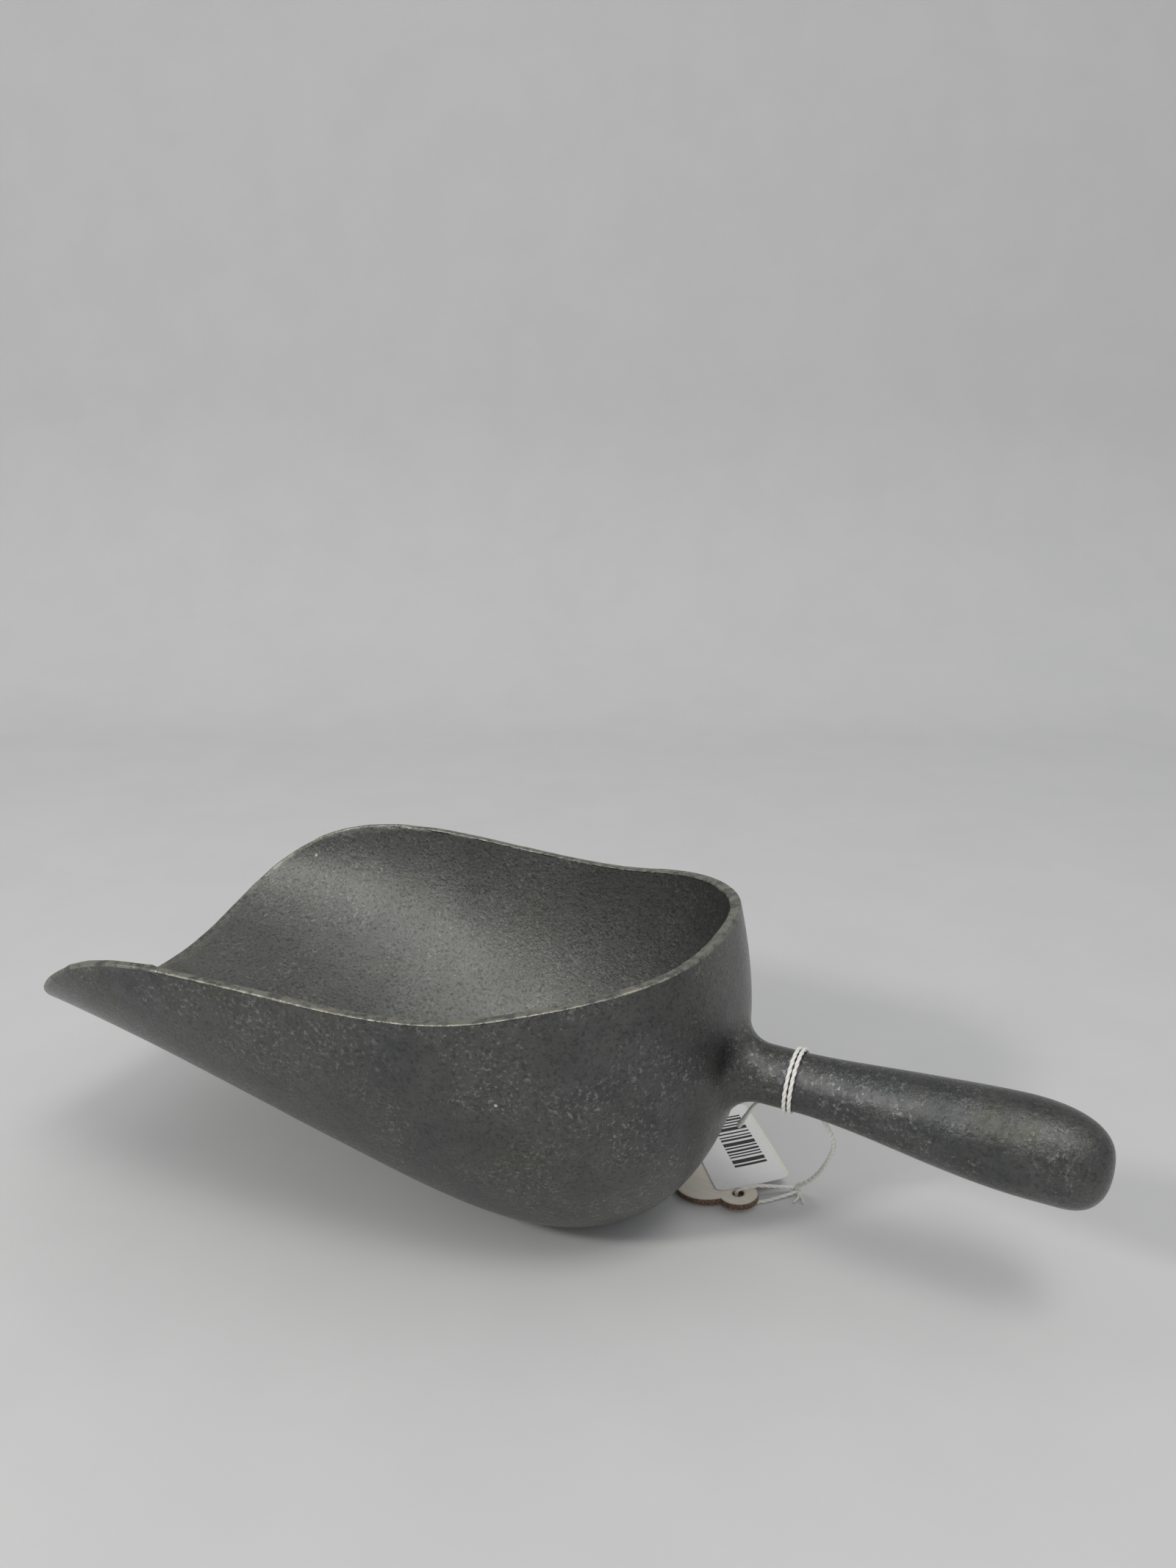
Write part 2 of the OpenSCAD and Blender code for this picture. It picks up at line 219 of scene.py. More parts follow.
# ---------------------------------------------------------------- mesh helpers
def mesh_object(name, verts, faces, attributes=None):
    mesh = bpy.data.meshes.new(name)
    mesh.from_pydata([tuple(v) for v in np.asarray(verts) * MM], [], faces)
    mesh.update()
    mesh.polygons.foreach_set("use_smooth", [True] * len(mesh.polygons))
    for key, values in (attributes or {}).items():
        layer = mesh.attributes.new(key, "FLOAT", "POINT")
        layer.data.foreach_set("value", np.asarray(values, float))
    obj = bpy.data.objects.new(name, mesh)
    bpy.context.scene.collection.objects.link(obj)
    return obj


def ring_faces(rows, n, closed=True):
    return [(j * n + i, (j + 1) * n + i, (j + 1) * n + (i + 1) % n, j * n + (i + 1) % n)
            for j in range(rows - 1) for i in range(n if closed else n - 1)]


def end_fans(rows, n):
    """Triangles from the first and the last ring to the two points that follow the rings."""
    count = rows * n
    return ([(count, (i + 1) % n, i) for i in range(n)]
            + [(count + 1, count - n + i, count - n + (i + 1) % n) for i in range(n)])


def wave(p, size, seed):
    """Smooth noise from -1 to 1 at points p (mm), with features of a given size."""
    return np.array([noise.noise(Vector(q) / size + Vector((seed, 3 * seed, 7 * seed)))
                     for q in np.asarray(p).reshape(-1, 3)]).reshape(np.shape(p)[:-1])


# ---------------------------------------------------------------- scoop casting
def handle_point(x, theta):
    swell = np.maximum((x - SWELL[0]) / (SWELL[1] - SWELL[0]), 0)
    e = mix(END_ROUND[1], END_ROUND[0], (1 + np.cos(theta)) / 2)
    v = np.clip((x - HANDLE_LEN + e) / e, 0, 1)
    r = mix(NECK_R, GRIP_R, smooth(swell ** 0.9)) * (1 - v ** END_ROUND[2]) ** (1 / END_ROUND[2])
    centre = ROOT + x[..., None] * AXIS - GRIP_SAG * smooth(swell)[..., None] * RISE
    return centre + r[..., None] * around(theta)


def fillet_points(theta, t):
    """Points on the root fillet, from the wall (t = 0) to the neck (1), and where it ends."""
    def flat(p):
        along = (p - ROOT) @ AXIS
        return np.stack([along, np.linalg.norm(p - ROOT - along[..., None] * AXIS, axis=-1)], -1)

    start = flat(wall_point(np.zeros(1), np.zeros(1)))[0, 0] + ROOT_FILLET - FILLET_TUCK
    a, b = flat(wall_point(ROOT_PSI, theta)), flat(wall_point(ROOT_PSI + math.radians(1), theta))
    d = np.broadcast_to([start, NECK_R], a.shape)
    k = FILLET_PULL * np.linalg.norm(d - a, axis=-1, keepdims=True)
    pull_a, pull_d = a + k * unit(a - b), d - k * np.array([1, 0])
    q = ((1 - t) ** 3 * a + 3 * t * (1 - t) ** 2 * pull_a
         + 3 * t * t * (1 - t) * pull_d + t ** 3 * d)
    return ROOT + q[..., :1] * AXIS + q[..., 1:] * around(theta), start


def wall_thickness(p):
    return mix(WALL_BACK, WALL_LIP, smooth(-p[..., 0] / BOWL_LEN))


def handle_rings(u, rows=64, fillet_rows=14):
    """Rings from the handle's rounded end down to the neck, and out along the root fillet."""
    _, start = fillet_points(u[:1], 1.0)
    spread = np.sin(np.linspace(1, 0, rows, endpoint=False)[1:] * math.pi / 2)
    xs = start + (HANDLE_LEN - start) * np.clip(spread, 0, 1 - 1e-6)
    return ([handle_point(np.full(len(u), x), u) for x in xs]
            + [fillet_points(u, 1 - j / fillet_rows)[0] for j in range(fillet_rows)])


def wall_rings(u, rim, rows=110):
    """Rings up the outer wall, and rings down the inside of it."""
    aim = rim - EYE
    rim_psi = np.arccos(aim @ AXIS / np.linalg.norm(aim, axis=-1))
    rim_theta = np.arctan2(aim[:, 1], aim @ RISE)
    rim_theta = np.where(rim_theta - u < -math.pi, rim_theta + 2 * math.pi, rim_theta)
    reach = np.linalg.norm(rim - wall_point(ROOT_PSI, u), axis=-1)
    stop = 1 - 1.6 * RIM_ROUND / reach
    outer, inner = [], []
    for j in range(rows + 1):
        t = j / rows * stop
        outer.append(wall_point(mix(ROOT_PSI, rim_psi, t), mix(u, rim_theta, t)))
    for j in range(rows):
        t = (1 - j / rows) * stop
        p = wall_point(rim_psi * t, mix(u, rim_theta, t))
        inner.append(p - wall_thickness(p)[:, None] * outward(p))
    return outer, inner


def rim_rings(rim, arc_rows=5):
    """Rings over the rim: two worn edges, a little uneven, with a flat between them."""
    rough = sum(height * wave(rim, size, seed) for size, seed, height in RIM_WAVES)
    normal = outward(rim)
    along = unit(np.roll(rim, -1, 0) - np.roll(rim, 1, 0))
    up = unit(np.cross(normal, along))
    up *= np.sign(up[:, 2:])
    edge = rim + rough[:, None] * up * RIM_LIFT
    thick = wall_thickness(rim) + rough * RIM_SWELL
    rings = []
    for side in (0, 1):
        inset = np.where(side, thick - RIM_ROUND, RIM_ROUND)[:, None]
        hub = edge - inset * normal - RIM_ROUND * up
        for k in range(arc_rows):
            a = math.pi / 2 * (side + k / (arc_rows - 1))
            rings.append(hub + RIM_ROUND * (math.cos(a) * normal + math.sin(a) * up))
    return rings


def build_casting(n=320):
    """One closed skin, from the handle's end over the rim to the middle of the back wall."""
    u = np.arange(n) * 2 * math.pi / n
    rim = rim_point(u - SPOKE_WARP * np.sin(2 * u))
    outer, inner = wall_rings(u, rim)
    rows, tags = [], []
    for rings, tag in ((handle_rings(u) + outer, (0, 0)), (rim_rings(rim), (1, 0.5)),
                       (inner, (0, 1))):
        rows += rings
        tags += [tag] * len(rings)

    pole = wall_point(np.zeros(1), np.zeros(1))
    pole = pole - WALL_BACK * outward(pole)
    tip = handle_point(np.array([HANDLE_LEN - 1e-6]), np.zeros(1))
    verts = rested(np.concatenate([np.concatenate(rows), tip, pole]))
    size, seed, height = SKIN_WAVES
    swing = np.stack([wave(verts, size, seed + k) for k in range(3)], -1)
    verts += height * swing * smooth(verts[:, 2:] / SKIN_FADE)
    verts[:, 2] = np.maximum(verts[:, 2], 0)
    faces = [f[::-1] for f in ring_faces(len(rows), n)] + end_fans(len(rows), n)
    tags = np.concatenate([np.repeat(np.array(tags, float), n, 0), [[0, 0], [0, 1]]])
    return mesh_object("scoop_body", verts, faces, {"rim": tags[:, 0], "inside": tags[:, 1]})


# ---------------------------------------------------------------- string
HINGE = rested(ROOT)
RUN, LIFT = pitched(AXIS), pitched(RISE)
NECK_X = (HINGE + TURNS_AT * RUN)[0]
TABLE = STRING_D / 2 + 0.1              # height of the string's middle where it lies down
OVER = TAG_T + STRING_D + 0.65          # and where it crosses over the tag
KNOT = np.array([NECK_X - 4.2, 32.3, 1.7])
EAR = np.array([NECK_X - 21.6, 19.6])


def turn_point(a):
    x = TURNS_AT + TURN_PITCH * (a - TURN_MIDDLE) / 360
    r = NECK_R + STRING_GAP + STRING_D / 2
    a = math.radians(a)
    return HINGE + x * RUN + r * (math.cos(a) * LIFT + math.sin(a) * SIDE)


def leave(x, y, z, reach=0.8 * KNOT_D / 2):
    """The point at which the string leaves the knot in a given direction."""
    return KNOT + reach * unit(np.array([x, y, z], float))


def spline(points, n):
    """A Catmull-Rom curve through the points, without the last of them."""
    p = [np.asarray(q, float) for q in points]
    out = []
    for i in range(len(p) - 1):
        a, b, c, d = p[max(i - 1, 0)], p[i], p[i + 1], p[min(i + 2, len(p) - 1)]
        for t in np.arange(n) / n:
            out.append(0.5 * (2 * b + (c - a) * t + (2 * a - 5 * b + 4 * c - d) * t * t
                              + (3 * b - a - 3 * c + d) * t ** 3))
    return out


def loop_path():
    right = [(1.2, 29.8, 9), (6, 26, 18), (9.8, 20, 30), (9.4, 15, 38.5), (5.6, 11.5, 48),
             (2.6, 11.1, 58)]
    tail = [(-4.8, 5.2, 51.9), (-9.9, 10.3, 48.8), (-14.8, 16, 43.6), (-18.4, 21, 37.8),
            (-22.1, 27, 30), (-25.3, 30, 23.3)]

    def place(points):
        return [np.array([NECK_X + x, y, z]) for x, y, z in points]

    turns = [turn_point(a) for a in range(TURN_FROM, TURN_TO - 1, -5)]
    start = leave(0.2, -0.25, 1, KNOT_D / 2 + STRING_D / 4 + KNOT_GAP)
    return (spline([start] + place(right) + [turns[0]], 14) + turns[:-1]
            + spline([turns[-1]] + place(tail), 14) + place(tail[-1:]))


def tag_path():
    pts = [(6.6, 4.9, OVER + 1.3), (2.4, 1.7, OVER + 1.5), (0, 0.1, OVER + 0.8),
           (-0.7, -0.1, OVER - 0.8), (-0.6, -0.1, 1.9), (0.5, 0, 0.8), (2.6, 0.3, TABLE - 0.05),
           (6.6, 1.7, TABLE), (11.2, 5.6, TABLE)]
    pts = [(EAR[0] + x, EAR[1] + y, z) for x, y, z in pts]
    return spline([leave(-1, -0.1, 0.5)] + pts + [leave(-0.1, -1, -0.3)], 12) + [
        leave(-0.1, -1, -0.3)]


def resampled(path, step):
    path = np.array(path)
    run = np.concatenate([[0], np.cumsum(np.linalg.norm(np.diff(path, axis=0), axis=1))])
    s = np.linspace(0, run[-1], max(int(run[-1] / step), 4))
    return np.stack([np.interp(s, run, path[:, k]) for k in range(3)], -1), s


def build_cord(name, path, radius=STRING_D / 2, taper=0.0, loose=(0.0, 0.0), sides=20,
               step=0.3):
    """A two-ply cord: the section is two lobes that turn along the path. loose is how much
    thicker it gets towards its start and its end."""
    path, s = resampled(path, step)
    t = unit(np.gradient(path, axis=0))
    u = np.cross(t[0], [0.3, 0.2, 1.0])
    frames = []
    for v in t:
        u = unit(u - (u @ v) * v)
        frames.append(u)
    u = np.array(frames)
    w = np.cross(t, u)
    phi = np.arange(sides) * 2 * math.pi / sides
    twist = phi[None, :] - 2 * math.pi * s[:, None] / PLY_PITCH
    lobes = LOBE_WAIST + LOBE_DEPTH * np.abs(np.cos(twist)) ** LOBE_POWER
    yarn = YARN_DEPTH * np.cos(2 * math.pi * s[:, None] / YARN_PITCH + 4 * phi[None, :])
    fray = 1 + sum(deep * np.sin(s * rate + phase) for deep, rate, phase in FRAY)
    thin = 1 - taper * s / s[-1]
    thin += loose[0] * smooth((s[-1] * LOOSE_SHARE - s) / LOOSE_START)
    thin += loose[1] * smooth((s - s[-1] + LOOSE_END) / LOOSE_END)
    r = radius * (lobes + yarn) * (fray * thin)[:, None]
    ring = (path[:, None] + r[..., None] * (np.cos(phi)[None, :, None] * u[:, None]
                                            + np.sin(phi)[None, :, None] * w[:, None]))
    verts = np.concatenate([ring.reshape(-1, 3), path[:1], path[-1:]])
    faces = [f[::-1] for f in ring_faces(len(path), sides)] + end_fans(len(path), sides)
    # Each vertex's lobe depth; the cotton material uses it to paint shade into the grooves
    # between the plies.
    groove_shade = np.concatenate([lobes.reshape(-1), [0.8, 0.8]])
    return mesh_object(name, verts, faces, {"ply": groove_shade})


def knot_path():
    """A three-lobed knot."""
    a = np.linspace(0, 2 * math.pi, 90)
    curl = np.stack([np.sin(a) + 1.5 * np.sin(2 * a), np.cos(a) - 1.5 * np.cos(2 * a),
                     -1.1 * np.sin(3 * a)], -1) * KNOT_SIZE
    turn = np.array(Matrix.Rotation(0.5, 3, "Y") @ Matrix.Rotation(0.4, 3, "X"))
    return KNOT + curl @ turn.T


def build_string():
    made = [build_cord("string_loop_cord", loop_path(), loose=(0.3, 0.55)),
            build_cord("string_tag_cord", tag_path()),
            build_cord("string_knot_cord", knot_path(), KNOT_CORD_R)]
    tails = [((0.4, -0.6, -0.2), (1.4, -2.4, -0.6), (1.2, -4.4, -0.9), (0.4, -6.2, -1.0)),
             ((0.5, -0.7, 0.2), (1.9, -2.0, -0.4), (3.0, -3.4, -0.9), (3.6, -5.2, -1.0))]
    for k, points in enumerate(tails):
        path = spline([KNOT + np.array(p) for p in points], 10)
        made.append(build_cord(f"string_tail_{k + 1}", path, TAIL_R, TAIL_TAPER))
    return made


# ---------------------------------------------------------------- tag and label
def tag_frame():
    lift = TABLE + STRING_D / 2 + TAG_CLEAR + TAG_T / 2
    return (Matrix.Translation(Vector((EAR[0], EAR[1], lift)) * MM)
            @ Matrix.Rotation(TAG_TURN, 4, "Z") @ Matrix.Rotation(TAG_TILT, 4, "Y"))


def tag_outline(steps=220):
    """Points round the union of the ear and the body, as one loop."""
    d = TAG_REACH
    x = (d * d + EAR_R ** 2 - TAG_R ** 2) / (2 * d)
    a = math.atan2(math.sqrt(EAR_R ** 2 - x * x), x)
    b = math.atan2(math.sqrt(EAR_R ** 2 - x * x), x - d)
    ear = np.linspace(a, 2 * math.pi - a, steps // 2, endpoint=False)
    body = np.linspace(-b, b, steps - steps // 2, endpoint=False)
    return np.concatenate([np.stack([EAR_R * np.cos(ear), EAR_R * np.sin(ear)], -1),
                           np.stack([d + TAG_R * np.cos(body), TAG_R * np.sin(body)], -1)])


def build_tag(steps=220, inner_rows=10):
    """Rings from the hole out to the outline, on top and underneath, joined at both edges."""
    outline = tag_outline(steps)
    start = np.arctan2(outline[:, 1], outline[:, 0])
    hole = HOLE_R * np.stack([np.cos(start), np.sin(start)], -1)
    shrunk = outline - TAG_EDGE * unit(outline - np.array([TAG_REACH * 0.45, 0]))

    def ring(inner, outer, t, z):
        return np.concatenate([mix(inner, outer, t), np.full((steps, 1), float(z))], 1)

    top = TAG_T / 2
    ts = np.linspace(0.03, 0.985, inner_rows)
    rows = [ring(hole, outline, 0, z) for z in (-top + TAG_EDGE, 0, top - TAG_EDGE)]
    rows += [ring(hole, outline, t, top) for t in ts]
    rows += [ring(outline, shrunk, k, z) for k, z in (
        (0.6, top - 0.04), (0, top - TAG_EDGE), (0, 0), (0, -top + TAG_EDGE), (0.6, -top + 0.04))]
    rows += [ring(hole, outline, t, -top) for t in ts[::-1]]
    faces = ring_faces(len(rows), steps)
    last = (len(rows) - 1) * steps
    faces += [(last + i, i, (i + 1) % steps, last + (i + 1) % steps) for i in range(steps)]
    obj = mesh_object("tag_disc", np.concatenate(rows), faces)
    obj.matrix_world = tag_frame()
    return obj


def label_height(a, b):
    """Curl of the label over its own plane (mm): its right side lifts, most at the near end."""
    right, far = a / LABEL_W, b / LABEL_L
    curl = CURL * right ** CURL_POWER * (1 - CURL_FALL * far)
    return LABEL_LIFT + curl + LABEL_BOW * np.sin(math.pi * far) * right


def build_label(na=56, nb=74):
    a, b = np.meshgrid(np.linspace(0, 1, na), np.linspace(0, 1, nb))
    x, y = a * LABEL_W, b * LABEL_L
    dy = np.minimum(y, LABEL_L - y)
    near = np.maximum(CORNER_R - dy, 0)
    pull = CORNER_R - np.sqrt(np.maximum(CORNER_R ** 2 - near ** 2, 0))
    x = mix(pull, LABEL_W - pull, a)
    z = label_height(x, y)
    top = np.stack([x, y, z + LABEL_T], -1).reshape(-1, 3)
    low = np.stack([x, y, z], -1).reshape(-1, 3)
    count = na * nb
    faces = [f[::-1] for f in ring_faces(nb, na, closed=False)]
    faces += [tuple(count + k for k in f[::-1]) for f in faces]
    rim = (list(range(na)) + [j * na + na - 1 for j in range(1, nb)]
           + [(nb - 1) * na + i for i in range(na - 2, -1, -1)]
           + [j * na for j in range(nb - 2, 0, -1)])
    for k, i in enumerate(rim):
        j = rim[(k + 1) % len(rim)]
        faces.append((i, i + count, j + count, j))
    side = (LABEL_W - x).reshape(-1)
    obj = mesh_object("label_sheet", np.concatenate([top, low]), faces,
                      {"edge": np.concatenate([side, side])})
    obj.matrix_world = (tag_frame() @ Matrix.Translation(
        Vector((LABEL_CORNER[0], LABEL_CORNER[1], TAG_T / 2)) * MM)
        @ Matrix.Rotation(LABEL_TURN, 4, "Z"))
    return obj


def build_bars(label, first=11.5, last=44.5, left=10.4, right=22.4, cuts=14):
    """Generic printed bars that carry no code: thin closed strips that follow the curl."""
    rng = np.random.default_rng(BAR_SEED)
    verts, faces, y = [], [], first
    xs = np.linspace(left, right, cuts)
    while y < last:
        width = float(rng.choice(BAR_WIDTHS))
        base = len(verts)
        for edge, lift in ((y, BAR_FOOT), (y + width, BAR_FOOT), (y + width, BAR_TOP),
                           (y, BAR_TOP)):
            z = label_height(xs, np.full_like(xs, edge)) + LABEL_T + lift
            verts += list(np.stack([xs, np.full_like(xs, edge), z], -1))
        for k in range(4):
            a, b = base + k * cuts, base + (k + 1) % 4 * cuts
            faces += [(a + i, a + i + 1, b + i + 1, b + i)[::-1] for i in range(cuts - 1)]
        faces += [tuple(base + k * cuts for k in range(4))[::-1],
                  tuple(base + k * cuts + cuts - 1 for k in range(4))]
        y += width + float(rng.choice(BAR_GAPS))
    obj = mesh_object("label_bars", verts, faces)
    for polygon in obj.data.polygons:
        polygon.use_smooth = False
    obj.matrix_world = label.matrix_world.copy()
    return obj


# ---------------------------------------------------------------- materials
class Nodes:
    """Short helper for building one procedural material."""

    def __init__(self, name):
        self.mat = bpy.data.materials.new(name)
        self.mat.use_nodes = True
        self.tree = self.mat.node_tree
        self.bsdf = self.tree.nodes["Principled BSDF"]
        self.coord = self.add("ShaderNodeTexCoord").outputs["Object"]

    def add(self, kind, **values):
        node = self.tree.nodes.new(kind)
        for key, value in values.items():
            if hasattr(node, key):
                setattr(node, key, value)
            else:
                node.inputs[key].default_value = value
        return node

    def link(self, a, b):
        self.tree.links.new(a, b)

    def noise(self, size_mm, detail=3.0, rough=0.55, stretch=(1, 1, 1), distortion=0.0):
        n = self.add("ShaderNodeTexNoise", Scale=1.0, Detail=detail, Roughness=rough,
                     Distortion=distortion)
        m = self.add("ShaderNodeMapping")
        m.inputs["Scale"].default_value = [1000 / size_mm / k for k in stretch]
        self.link(self.coord, m.inputs["Vector"])
        self.link(m.outputs["Vector"], n.inputs["Vector"])
        return n.outputs["Fac"]

    def cells(self, size_mm):
        v = self.add("ShaderNodeTexVoronoi", Scale=1000 / size_mm)
        self.link(self.coord, v.inputs["Vector"])
        return v.outputs["Distance"]

    def ramp(self, value, lo, hi, out_lo=0.0, out_hi=1.0):
        m = self.add("ShaderNodeMapRange")
        m.interpolation_type = "SMOOTHSTEP"
        for key, x in (("From Min", lo), ("From Max", hi), ("To Min", out_lo),
                       ("To Max", out_hi)):
            m.inputs[key].default_value = x
        self.link(value, m.inputs["Value"])
        return m.outputs["Result"]

    def math(self, op, a, b=0.0):
        m = self.add("ShaderNodeMath")
        m.operation = op
        for k, x in enumerate((a, b)):
            if isinstance(x, (int, float)):
                m.inputs[k].default_value = x
            else:
                self.link(x, m.inputs[k])
        return m.outputs[0]

    def times(self, a, b):
        return self.math("MULTIPLY", a, b)

    def blend(self, factor, a, b):
        m = self.add("ShaderNodeMix", data_type="RGBA")
        if isinstance(factor, (int, float)):
            m.inputs[0].default_value = factor
        else:
            self.link(factor, m.inputs[0])
        for k, x in ((6, a), (7, b)):       # the two colour sockets of a mix node
            if isinstance(x, tuple):
                m.inputs[k].default_value = (*x, 1)
            else:
                self.link(x, m.inputs[k])
        return m.outputs[2]

    def split(self, vector):
        s = self.add("ShaderNodeSeparateXYZ")
        self.link(vector, s.inputs[0])
        return s.outputs

    def attribute(self, name):
        return self.add("ShaderNodeAttribute", attribute_name=name).outputs["Fac"]

    def bump(self, height, strength, distance_mm, after=None):
        b = self.add("ShaderNodeBump", Strength=strength, Distance=distance_mm * MM)
        self.link(height, b.inputs["Height"])
        if after is not None:
            self.link(after, b.inputs["Normal"])
        return b.outputs["Normal"]

    def finish(self, **sockets):
        for key, value in sockets.items():
            socket = self.bsdf.inputs[key.replace("_", " ")]
            if isinstance(value, (int, float)):
                socket.default_value = value
            elif isinstance(value, tuple):
                socket.default_value = (*value, 1)
            else:
                self.link(value, socket)
        return self.mat


def cast_metal():
    """Aged sand-cast aluminium: a dull grey skin with a pebbled grain, paler specks, dark
    pits and olive stains, a ground rim that is brighter than the rest, and a paler inside
    that is partly painted bounce light."""
    dark_skin, pale_skin = (0.084, 0.087, 0.088), (0.118, 0.119, 0.113)
    mottled, olive_stain = (0.142, 0.144, 0.139), (0.098, 0.098, 0.07)
    # The inside colour is partly the interior's own paler metal and partly painted bounce light,
    # standing in for light reflected round the bowl.
    inside_skin_and_bounce_light, ground_rim = (0.23, 0.23, 0.212), (0.34, 0.33, 0.275)
    speck, nick = (0.38, 0.38, 0.36), (0.62, 0.61, 0.58)
    hollow, pit = (0.04, 0.04, 0.038), (0.03, 0.03, 0.028)
    n = Nodes("aged_cast_aluminium")
    rim, inside = n.attribute("rim"), n.attribute("inside")
    grain, fine = n.noise(1.5, 4, 0.8), n.noise(0.8, 2, 0.6)

    patch = n.ramp(n.noise(46, 4, 0.6, distortion=0.6), 0.36, 0.66)
    mottle = n.ramp(n.noise(9, 6, 0.7), 0.36, 0.66)
    olive = n.ramp(n.noise(32, 5, 0.7), 0.5, 0.7)
    specks = n.times(n.ramp(grain, 0.53, 0.64), n.ramp(n.noise(26, 3), 0.38, 0.58))
    hollows = n.ramp(n.noise(1.2, 3, 0.7), 0.5, 0.36)
    pits = n.times(n.ramp(n.cells(2.7), 0.0, 0.16, 1.0, 0.0), n.ramp(n.noise(7, 2), 0.58, 0.7))
    nicks = n.ramp(n.cells(30), 0.018, 0.026, 1.0, 0.0)
    ground = n.times(rim, n.ramp(n.noise(4, 5, 0.75), 0.4, 0.58, 0.05, 0.9))

    base = n.blend(patch, dark_skin, pale_skin)
    # The inside blend paints bounce light: the whole inside of the bowl is made paler.
    for mask, share, color in ((mottle, 0.6, mottled), (olive, 0.6, olive_stain),
                               (inside, 0.45, inside_skin_and_bounce_light), (specks, 0.55, speck),
                               (hollows, 0.5, hollow), (pits, 0.6, pit), (nicks, 1, nick),
                               (ground, 1, ground_rim)):
        base = n.blend(n.times(mask, share), base, color)

    rough = n.math("ADD", n.ramp(grain, 0.3, 0.7, 0.15, 0.3), n.times(patch, 0.04))
    rough = n.math("ADD", rough, n.times(inside, 0.2))
    coarse = n.bump(n.noise(4.5, 4, 0.6), 0.6, 0.22)
    pebble = n.bump(grain, 1.0, 0.3, coarse)
    normal = n.bump(fine, 0.8, 0.05, pebble)
    return n.finish(Base_Color=base, Metallic=0.9, Roughness=rough, Normal=normal)


def cotton():
    groove_shade, crown, soiled = (0.5, 0.46, 0.39), (0.88, 0.87, 0.83), (0.7, 0.66, 0.58)
    n = Nodes("cotton_string")
    # Painted shade: where the section dips between the two plies the cord is coloured darker, and
    # pale on the crowns.
    base = n.blend(n.ramp(n.attribute("ply"), 0.68, 0.82), groove_shade, crown)
    base = n.blend(n.ramp(n.noise(9, 2), 0.4, 0.7, 0, 0.3), base, soiled)
    normal = n.bump(n.noise(0.5, 3, 0.7, stretch=(1, 1, 3)), 0.6, 0.12)
    return n.finish(Base_Color=base, Roughness=0.9, Normal=normal, Sheen_Weight=0.3)


def tag_wood():
    """Birch ply: a faint grain, a scorched line along the cut, and charred edges."""
    birch_dark, birch_pale, scorched = (0.8, 0.74, 0.64), (0.87, 0.82, 0.73), (0.42, 0.27, 0.15)
    char_dark, char_pale = (0.09, 0.05, 0.035), (0.22, 0.14, 0.09)
    n = Nodes("birch_ply")
    grain = n.noise(1.1, 4, 0.6, stretch=(14, 1, 1), distortion=0.4)
    base = n.blend(n.ramp(grain, 0.35, 0.7), birch_dark, birch_pale)
    x, y, _ = n.split(n.coord)

    def past_circle(cx, r):
        dx = n.math("SUBTRACT", x, cx * MM)
        far = n.math("SQRT", n.math("ADD", n.times(dx, dx), n.times(y, y)))
        return n.math("SUBTRACT", far, r * MM)

    outline = n.math("MINIMUM", past_circle(0, EAR_R), past_circle(TAG_REACH, TAG_R))
    edge = n.math("MAXIMUM", outline, n.times(past_circle(0, HOLE_R), -1))
    uneven = n.times(n.noise(2.5), 0.4 * MM)
    scorch = n.ramp(n.math("ADD", edge, uneven), -0.8 * MM, 0.1 * MM, 0.0, 0.5)
    base = n.blend(scorch, base, scorched)
    facing = n.split(n.add("ShaderNodeTexCoord").outputs["Normal"])[2]
    wall = n.ramp(n.math("ABSOLUTE", facing), 0.35, 0.75, 1.0, 0.0)
    char = n.blend(n.ramp(n.noise(0.8, 3), 0.35, 0.65), char_dark, char_pale)
    base = n.blend(wall, base, char)
    return n.finish(Base_Color=base, Roughness=0.68, Normal=n.bump(grain, 0.3, 0.06))


def label_paper():
    """White paper with a warm tint along its right edge."""
    dull, white, warm_edge_tint = (0.85, 0.85, 0.84), (0.9, 0.9, 0.895), (0.85, 0.77, 0.58)
    n = Nodes("label_paper")
    base = n.blend(n.ramp(n.noise(0.7, 4, 0.7), 0.3, 0.7), dull, white)
    # A warm tint, strongest at the right edge and gone 1.5 mm in.
    base = n.blend(n.ramp(n.attribute("edge"), 0.0, 1.5, 0.6, 0.0), base, warm_edge_tint)
    normal = n.bump(n.noise(0.35, 4, 0.7), 0.25, 0.04, n.bump(n.noise(6, 2), 0.3, 0.3))
    return n.finish(Base_Color=base, Roughness=0.75, Normal=normal)


def bar_ink():
    black, worn = (0.012, 0.012, 0.014), (0.04, 0.04, 0.042)
    n = Nodes("bar_ink")
    base = n.blend(n.ramp(n.noise(0.4, 3), 0.35, 0.7), black, worn)
    return n.finish(Base_Color=base, Roughness=0.6)


def backdrop_paper():
    shade, light = (0.622, 0.624, 0.621), (0.64, 0.642, 0.637)
    n = Nodes("backdrop_paper")
    base = n.blend(n.ramp(n.noise(55, 4, 0.6), 0.3, 0.7), shade, light)
    return n.finish(Base_Color=base, Roughness=0.9, Normal=n.bump(n.noise(7, 3), 0.1, 0.6))


def dress(obj, mat, body, slot, *nodes):
    """Gives a piece its material, its body and the CAD nodes that it replaces."""
    obj.data.materials.append(mat)
    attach(obj, body)
    if nodes:
        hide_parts(*nodes)


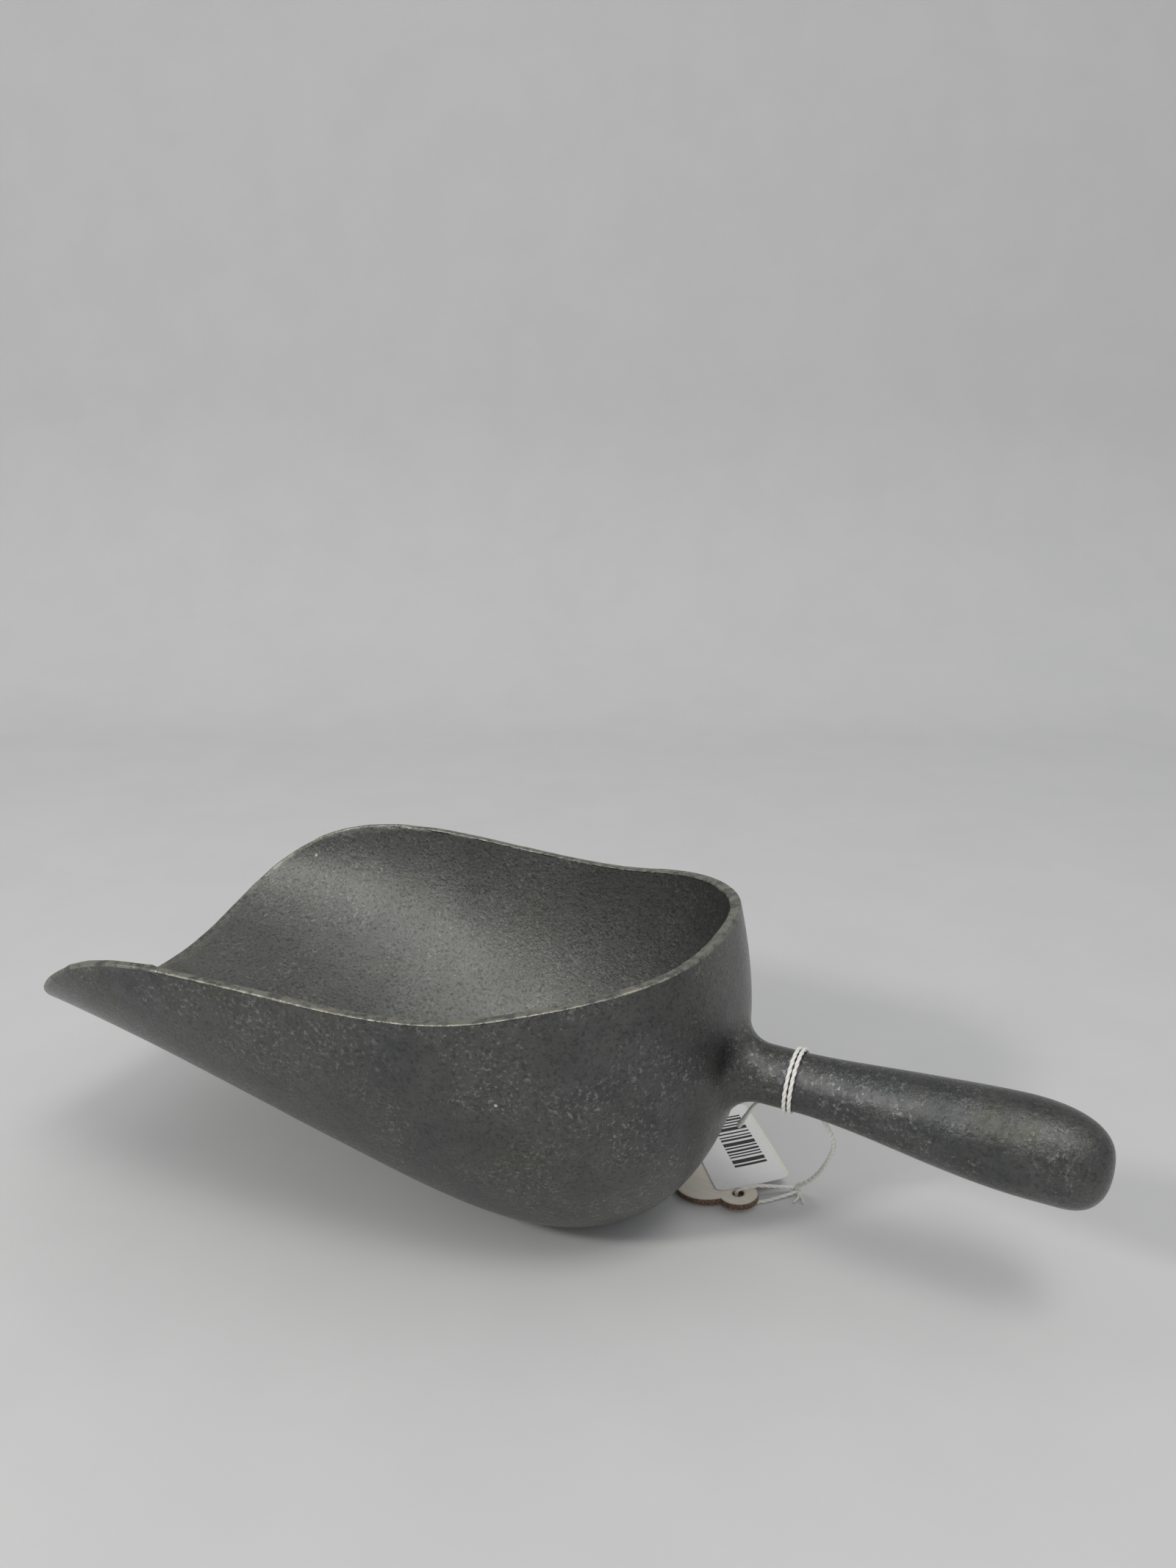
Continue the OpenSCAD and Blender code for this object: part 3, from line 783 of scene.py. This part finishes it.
# ---------------------------------------------------------------- stage
CAMERA_AZ, CAMERA_EL, CAMERA_ROLL = (math.radians(v) for v in (23.47, 16.94, 0.22))
CAMERA_DIST = 0.405     # from the point aimed at, which is above and behind the scoop
AIM_FROM_CENTRE = Vector((-0.0014, 0.0283, 0.0870))
LONG_SIDE_FOV, SENSOR_MM = math.radians(66.57), 36
LAMPS = (("lamp_right", (0.36, -0.3, 1.0), 0.5, 5.1),       # name, direction, size and power
         ("lamp_front", (-0.42, -0.72, 0.62), 0.18, 7.2))
LAMP_DIST, LAMP_AIM, LAMP_COLOR = 1.6, Vector((0, 0, 0.05)), (1.0, 0.985, 0.965)
SKY_LEVELS = (0.0, 0.8, 0.3, 0.68)      # height of the sky, from and to, and its strength
SKY_COLOR = (0.97, 0.985, 1.0, 1)


def backdrop():
    """A pale sheet: flat under the scoop, then a soft curve up to a wall."""
    rise_at, bend, half, front, top = 0.62, 0.28, 2.4, -1.6, 2.2
    profile = [(y, 0.0) for y in np.linspace(front, rise_at, 12)[:-1]]
    profile += [(rise_at + bend * math.sin(t), bend * (1 - math.cos(t)))
                for t in np.linspace(0, math.pi / 2, 24)]
    profile += [(rise_at + bend, z) for z in np.linspace(bend, top, 8)[1:]]
    xs = np.linspace(-half, half, 9)
    verts = np.array([(x, y, z) for y, z in profile for x in xs]) / MM
    obj = mesh_object("backdrop", verts, ring_faces(len(profile), len(xs), closed=False))
    obj.data.materials.append(backdrop_paper())
    obj.rotation_euler[2] = CAMERA_AZ


def lamp(name, toward, size, power):
    """A square ceiling lamp, so far off in the direction toward, aimed at the scoop."""
    data = bpy.data.lights.new(name, "AREA")
    data.shape, data.size, data.size_y = "RECTANGLE", size, size
    data.energy, data.color = power, LAMP_COLOR
    obj = bpy.data.objects.new(name, data)
    obj.location = LAMP_DIST * Vector(toward).normalized()
    obj.rotation_euler = (LAMP_AIM - obj.location).to_track_quat("-Z", "Y").to_euler()
    bpy.context.scene.collection.objects.link(obj)


def camera(centre):
    data = bpy.data.cameras.new("camera")
    data.sensor_fit, data.sensor_width = "AUTO", SENSOR_MM
    data.lens = SENSOR_MM / 2 / math.tan(LONG_SIDE_FOV / 2)
    data.clip_start, data.clip_end = 0.01, 20
    obj = bpy.data.objects.new("camera", data)
    back = Vector((math.sin(CAMERA_AZ) * math.cos(CAMERA_EL),
                   -math.cos(CAMERA_AZ) * math.cos(CAMERA_EL), math.sin(CAMERA_EL)))
    right = (-back).cross(Vector((0, 0, 1))).normalized()
    up = right.cross(-back)
    c, s = math.cos(CAMERA_ROLL), math.sin(CAMERA_ROLL)
    axes = Matrix((c * right + s * up, -s * right + c * up, back)).transposed()
    place = Matrix.Translation(centre + AIM_FROM_CENTRE + CAMERA_DIST * back)
    obj.matrix_world = place @ axes.to_4x4()
    bpy.context.scene.collection.objects.link(obj)
    bpy.context.scene.camera = obj


def room():
    """An evenly lit room, brighter above than at the level of the table."""
    world = bpy.data.worlds.new("room")
    world.use_nodes = True
    nodes, links = world.node_tree.nodes, world.node_tree.links
    sky, place = nodes["Background"], nodes.new("ShaderNodeTexCoord")
    height, level = nodes.new("ShaderNodeSeparateXYZ"), nodes.new("ShaderNodeMapRange")
    links.new(place.outputs["Generated"], height.inputs[0])
    links.new(height.outputs["Z"], level.inputs["Value"])
    for key, value in zip(("From Min", "From Max", "To Min", "To Max"), SKY_LEVELS):
        level.inputs[key].default_value = value
    links.new(level.outputs[0], sky.inputs["Strength"])
    sky.inputs["Color"].default_value = SKY_COLOR
    bpy.context.scene.world = world


# ---------------------------------------------------------------- assembly
dress(build_casting(), cast_metal(), "scoop", "cast_metal", "scoop_casting")
CORDS = {"string_loop_cord": ("string", "string_loop"),      # body it rides, node it replaces
         "string_tag_cord": ("tag", "string_tag_end"),
         "string_knot_cord": ("tag", "string_knot")}
thread = cotton()
for cord in build_string():
    rides, *stands_for = CORDS.get(cord.name, ("tag",))
    dress(cord, thread, rides, "cotton_string", *stands_for)
dress(build_tag(), tag_wood(), "tag", "tag_wood", "wood_tag")
label = build_label()
bars = build_bars(label)
dress(label, label_paper(), "tag", "label_paper", "paper_label")
dress(bars, bar_ink(), "tag", "label_paper")

backdrop()
for settings in LAMPS:
    lamp(*settings)
room()
lo, hi = cad_box
camera((Vector(lo) + Vector(hi)) / 2)
bpy.context.scene.view_settings.view_transform = "Standard"
